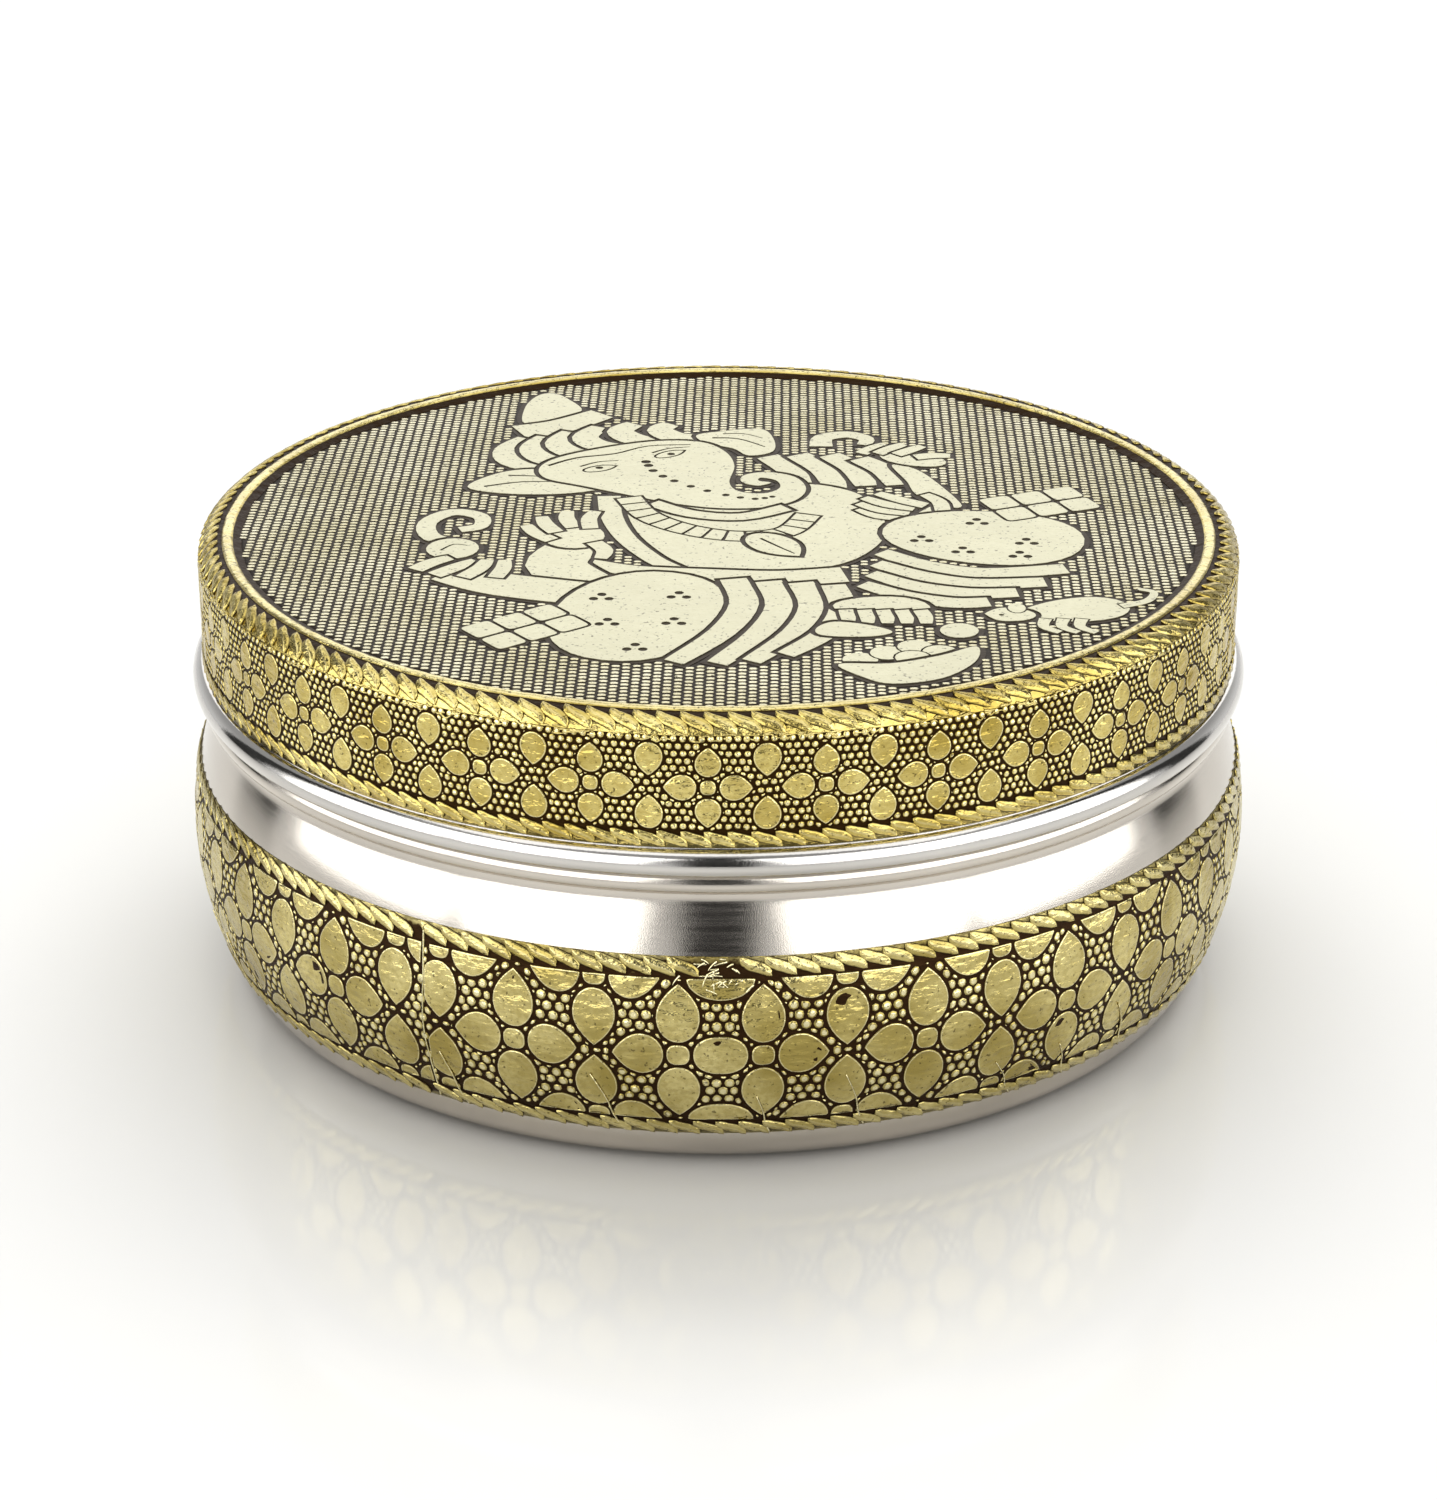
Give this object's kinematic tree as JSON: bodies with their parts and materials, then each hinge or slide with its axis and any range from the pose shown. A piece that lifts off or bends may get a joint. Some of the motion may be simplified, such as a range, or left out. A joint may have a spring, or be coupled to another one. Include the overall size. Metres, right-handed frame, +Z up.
{
  "type": "spice box",
  "caption": "Round steel spice box with embossed brass-coloured foil on lid and belly, a lift-off lid, small lift-out bowls and a spoon inside.",
  "frame": {"origin": "centre of the base, on the plane it stands on", "axes": "+Z up along the axis of the round box; -Y is the side the lid's figure is seen from"},
  "size_m": [0.1899, 0.19, 0.0811],
  "materials": {
    "box_steel": "bright satin",
    "lid_steel": "bright satin",
    "belly_foil": "embossed antique foil",
    "lid_side_foil": "embossed antique foil",
    "lid_top_foil": "embossed antique foil",
    "bowl_steel": "satin inside, bright rim",
    "spoon_steel": "polished"
  },
  "bodies": {
    "box": {"box_shell": "box_steel", "box_foil_band": "belly_foil"},
    "lid": {"lid_shell": "lid_steel", "lid_side_foil": "lid_side_foil", "lid_top_foil": "lid_top_foil"},
    "bowl_center": {"bowl_center": "bowl_steel"},
    "bowl_1": {"bowl_1": "bowl_steel"},
    "bowl_2": {"bowl_2": "bowl_steel"},
    "bowl_3": {"bowl_3": "bowl_steel"},
    "bowl_4": {"bowl_4": "bowl_steel"},
    "bowl_5": {"bowl_5": "bowl_steel"},
    "bowl_6": {"bowl_6": "bowl_steel"},
    "spoon": {"spice_spoon": "spoon_steel"}
  },
  "joints": [
    {"name": "lid_lift", "type": "slide", "parent": "box", "child": "lid", "axis": [0, 0, 1], "range_m": [0, 0.22]},
    {"name": "bowl_center_lift", "type": "slide", "parent": "box", "child": "bowl_center", "axis": [0, 0, 1], "range_m": [0, 0.11]},
    {"name": "bowl_1_lift", "type": "slide", "parent": "box", "child": "bowl_1", "axis": [0, 0, 1], "range_m": [0, 0.11]},
    {"name": "bowl_2_lift", "type": "slide", "parent": "box", "child": "bowl_2", "axis": [0, 0, 1], "range_m": [0, 0.11]},
    {"name": "bowl_3_lift", "type": "slide", "parent": "box", "child": "bowl_3", "axis": [0, 0, 1], "range_m": [0, 0.11]},
    {"name": "bowl_4_lift", "type": "slide", "parent": "box", "child": "bowl_4", "axis": [0, 0, 1], "range_m": [0, 0.11]},
    {"name": "bowl_5_lift", "type": "slide", "parent": "box", "child": "bowl_5", "axis": [0, 0, 1], "range_m": [0, 0.11]},
    {"name": "bowl_6_lift", "type": "slide", "parent": "box", "child": "bowl_6", "axis": [0, 0, 1], "range_m": [0, 0.11]},
    {"name": "spoon_lift", "type": "slide", "parent": "box", "child": "spoon", "axis": [0, 0, 1], "range_m": [0, 0.165]}
  ],
  "couplings": [
    {"joint": "bowl_center_lift", "follows": "lid_lift", "ratio": 0.5},
    {"joint": "bowl_1_lift", "follows": "lid_lift", "ratio": 0.5},
    {"joint": "bowl_2_lift", "follows": "lid_lift", "ratio": 0.5},
    {"joint": "bowl_3_lift", "follows": "lid_lift", "ratio": 0.5},
    {"joint": "bowl_4_lift", "follows": "lid_lift", "ratio": 0.5},
    {"joint": "bowl_5_lift", "follows": "lid_lift", "ratio": 0.5},
    {"joint": "bowl_6_lift", "follows": "lid_lift", "ratio": 0.5},
    {"joint": "spoon_lift", "follows": "lid_lift", "ratio": 0.75}
  ]
}
